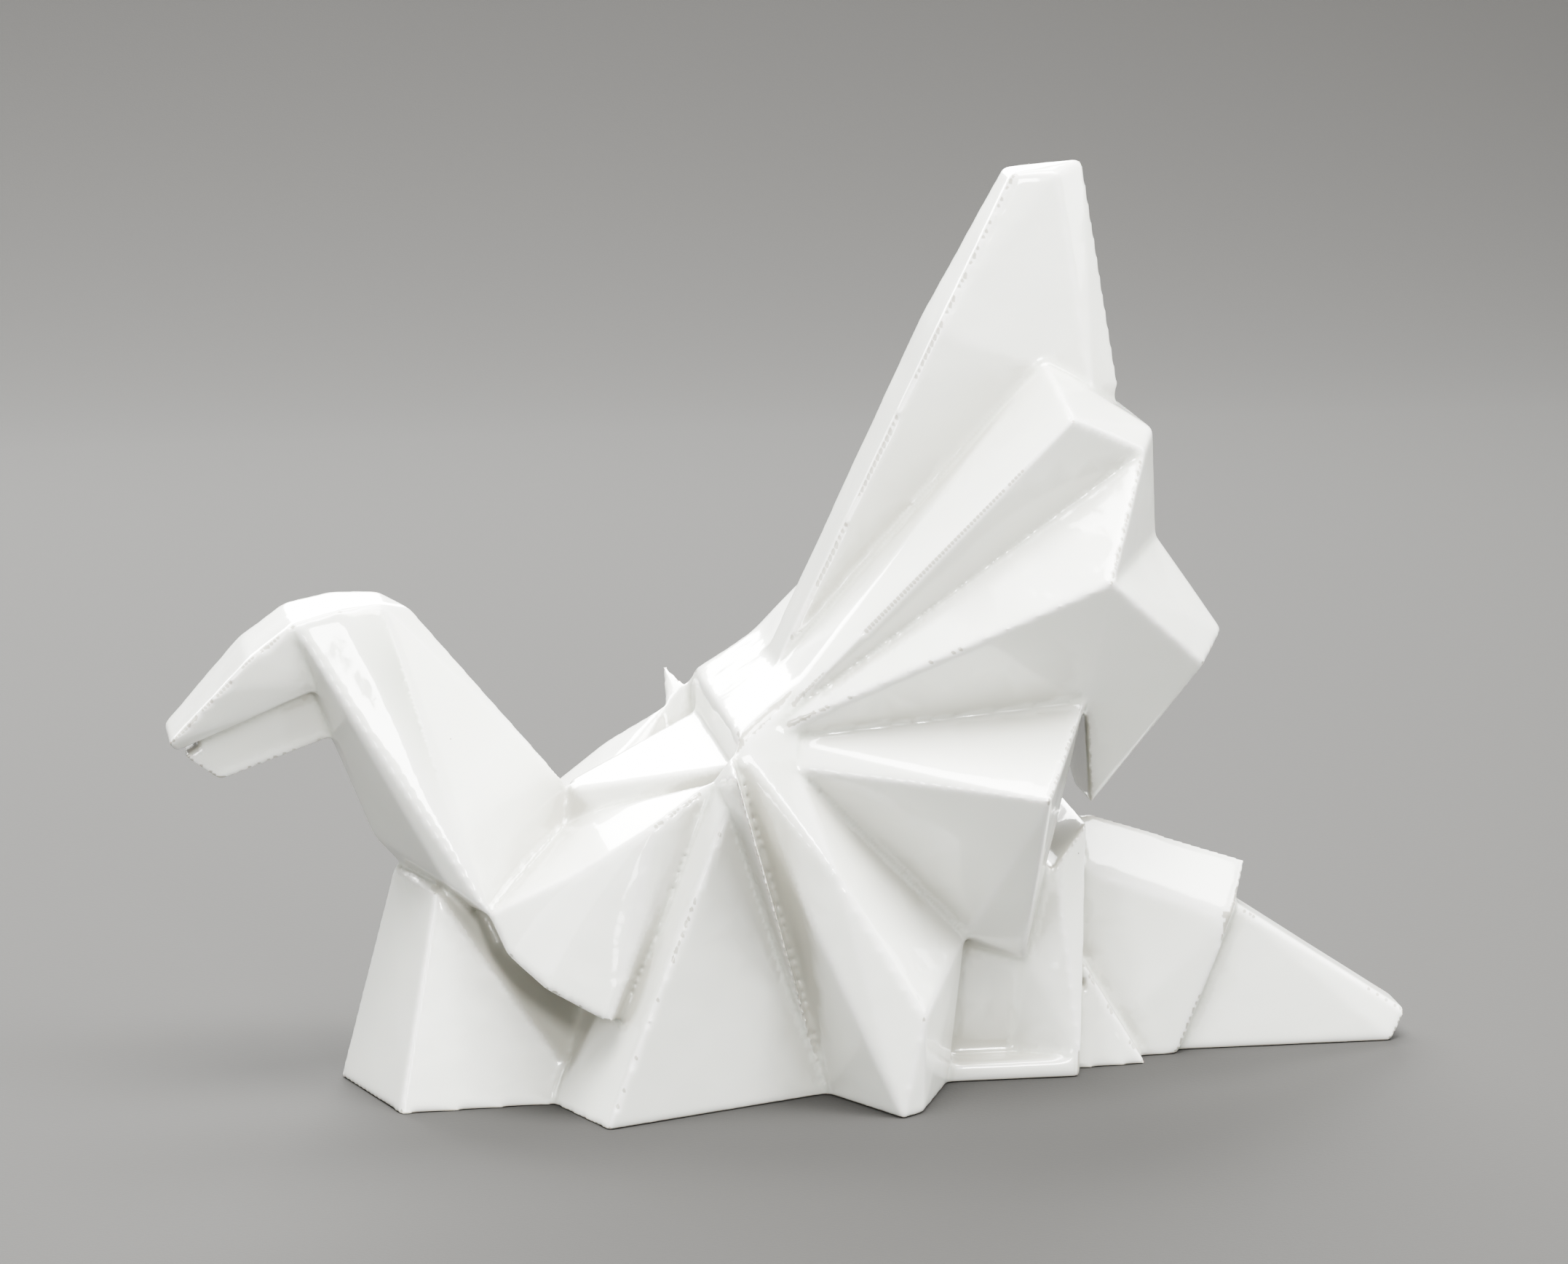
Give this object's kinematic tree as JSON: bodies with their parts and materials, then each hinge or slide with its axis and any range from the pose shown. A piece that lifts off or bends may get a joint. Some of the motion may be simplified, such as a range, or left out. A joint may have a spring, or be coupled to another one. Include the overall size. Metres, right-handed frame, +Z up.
{
  "type": "origami crane",
  "caption": "Glazed porcelain figure of a crane in folded-paper form, with a bent neck, pleated skirt, raised wing and low tail.",
  "frame": {"origin": "middle of the figure's bounding box, on the table plane that it stands on", "axes": "+X from the beak to the tail, +Y across the figure, +Z up"},
  "size_m": [0.382, 0.16, 0.276],
  "materials": {
    "glaze": "gloss"
  },
  "bodies": {
    "root": {"crane_figure": "glaze"}
  },
  "joints": []
}
